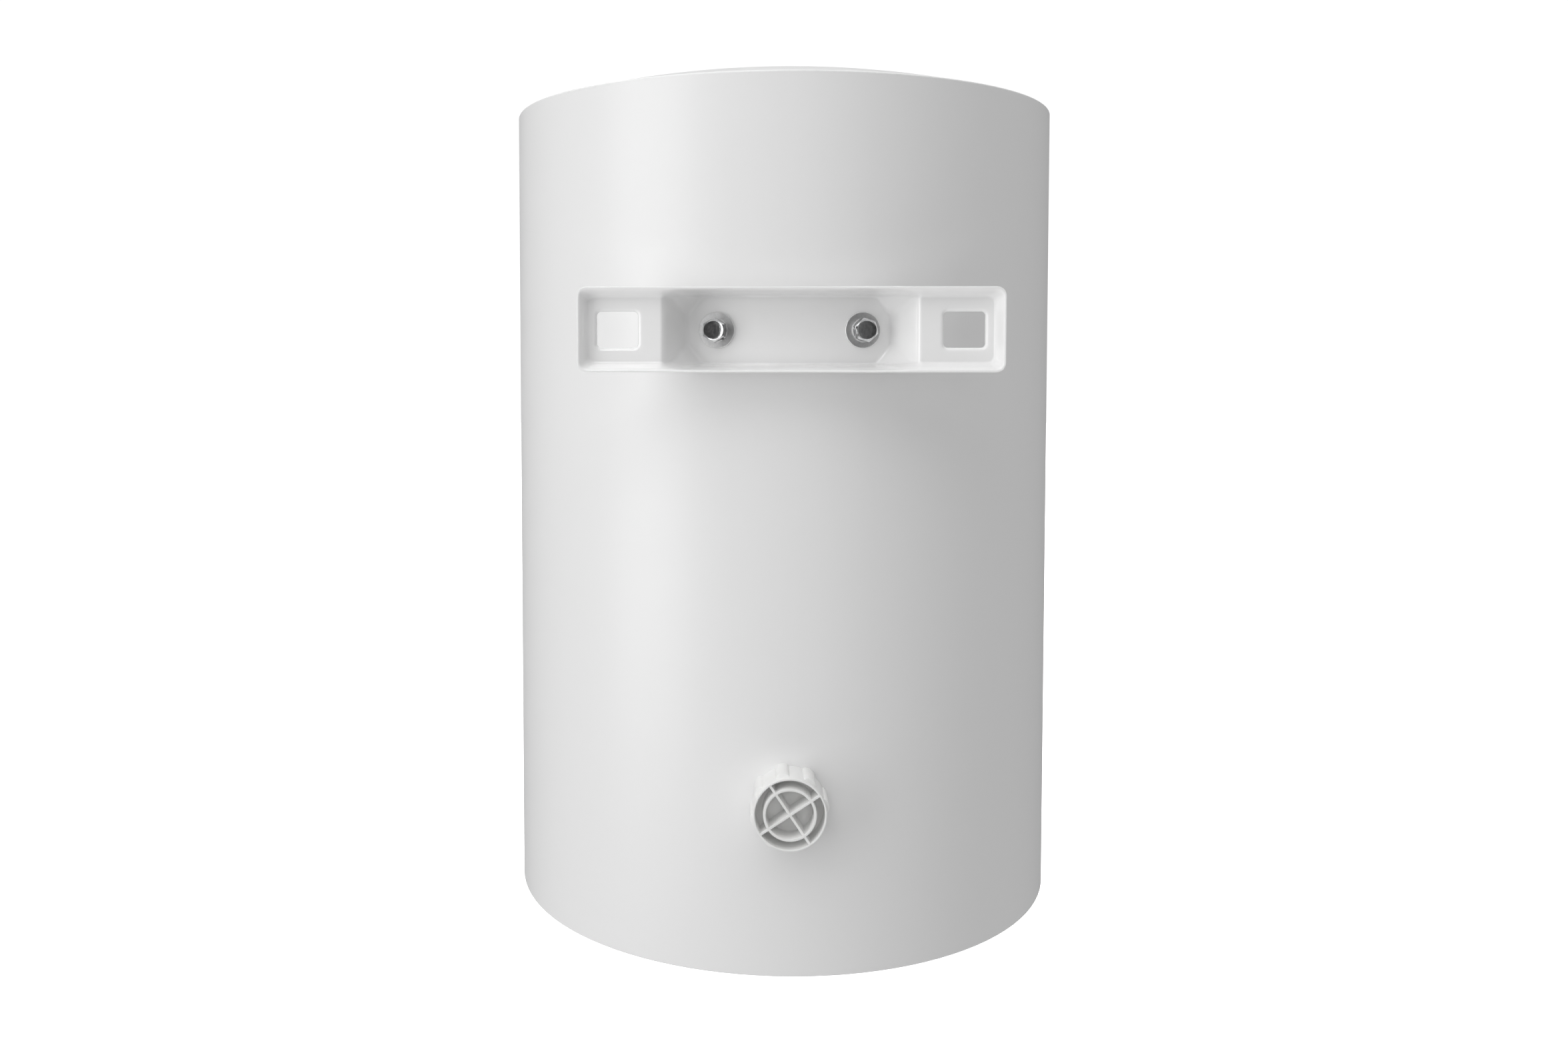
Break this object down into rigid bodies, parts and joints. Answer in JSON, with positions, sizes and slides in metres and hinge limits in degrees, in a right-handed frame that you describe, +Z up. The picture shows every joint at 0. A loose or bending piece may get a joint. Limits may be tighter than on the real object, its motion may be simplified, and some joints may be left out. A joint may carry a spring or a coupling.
{
  "type": "tank water heater",
  "caption": "Wall-hung upright cylindrical electric storage water heater with an enamelled wall bracket, wall spacer, service cover and threaded water pipes.",
  "frame": {"origin": "midway between the two hook windows of the wall bracket, in the plane of the wall", "axes": "+Z up along the tank; the wall is on the +Y side at y = 0, the front faces -Y; +X is to the right for someone facing the heater's front"},
  "size_m": [0.3849, 0.416, 0.644],
  "materials": {
    "white_enamel_steel": "gloss",
    "white_enamel_bracket": "gloss",
    "pu_foam": "matte",
    "enamelled_tank": "satin",
    "raw_steel": "satin",
    "zinc_bolt": "polished",
    "zinc_plate": "satin",
    "white_plastic_spacer": "satin",
    "white_plastic_cover": "satin",
    "white_plastic_knob": "satin",
    "white_plastic_gland": "satin",
    "white_plastic_gauge": "satin",
    "black_rubber": "matte",
    "copper_sheath": "satin",
    "ceramic_bead": "matte",
    "cream_plastic": "satin",
    "brass_part": "satin",
    "red_plastic": "satin",
    "blue_plastic": "satin",
    "natural_plastic": "satin",
    "magnesium": "matte",
    "pipe_steel": "satin",
    "brown_wire": "satin",
    "blue_wire": "satin",
    "green_yellow_wire": "satin",
    "white_wire": "satin",
    "black_plastic": "satin",
    "red_lens": "gloss",
    "chrome_bezel": "polished",
    "dial_white": "satin",
    "clear_window": "gloss"
  },
  "bodies": {
    "heater": {"outer_jacket": "white_enamel_steel", "top_cap": "white_enamel_steel", "bottom_cap": "white_enamel_steel", "insulation_foam": "pu_foam", "tank_shell": "enamelled_tank", "tank_top_dome": "enamelled_tank", "tank_bottom_dome": "enamelled_tank", "bracket_backing_plate": "raw_steel", "bracket_bosses": "raw_steel", "wall_bracket": "white_enamel_bracket", "bracket_bolts": "zinc_bolt", "bracket_spring_washers": "zinc_bolt", "bracket_flat_washers": "zinc_bolt", "wall_spacer": "white_plastic_spacer", "tank_flange_ring": "raw_steel", "flange_gasket": "black_rubber", "flange_plate": "zinc_plate", "flange_bolts": "zinc_plate", "flange_washers": "zinc_plate", "heating_element": "copper_sheath", "element_beads": "ceramic_bead", "element_terminals": "zinc_plate", "thermostat_pocket": "copper_sheath", "thermostat_body": "cream_plastic", "thermostat_rod": "brass_part", "anode_rod": "magnesium", "anode_stud": "zinc_plate", "anode_gasket": "black_rubber", "anode_nut": "zinc_plate", "cold_inlet_pipe": "pipe_steel", "inlet_diffuser": "natural_plastic", "hot_outlet_pipe": "pipe_steel", "cold_collar": "blue_plastic", "hot_collar": "red_plastic", "terminal_block": "cream_plastic", "terminal_screws": "brass_part", "earth_screw": "brass_part", "live_wires": "brown_wire", "neutral_wires": "blue_wire", "earth_wire": "green_yellow_wire", "lamp_wires": "white_wire", "service_cover": "white_plastic_cover", "cover_screws": "zinc_plate", "lamp_body": "black_plastic", "lamp_lens": "red_lens", "gland_body": "white_plastic_gland", "gland_nut": "white_plastic_gland", "gauge_case": "white_plastic_gauge", "gauge_bezel": "chrome_bezel", "gauge_dial": "dial_white", "gauge_window": "clear_window", "gauge_bulb": "copper_sheath"},
    "thermostat_dial": {"thermostat_knob": "white_plastic_knob", "thermostat_spindle": "brass_part"},
    "reset_plunger": {"reset_button": "red_plastic"},
    "gauge_needle": {"gauge_pointer": "black_plastic"}
  },
  "joints": [
    {"name": "thermostat_knob_turn", "type": "hinge", "parent": "heater", "child": "thermostat_dial", "pos_m": [-0.028, -0.1915, -0.4535], "axis": [0, 0, 1], "range_deg": [0, 270]},
    {"name": "reset_button_press", "type": "slide", "parent": "heater", "child": "reset_plunger", "axis": [0, 0, 1], "range_m": [0, 0.0015], "stiffness_N_per_m": 300, "springref_m": -0.0005},
    {"name": "gauge_needle_sweep", "type": "hinge", "parent": "heater", "child": "gauge_needle", "pos_m": [0, -0.407, -0.292], "axis": [0, 1, 0], "range_deg": [0, 270]}
  ]
}
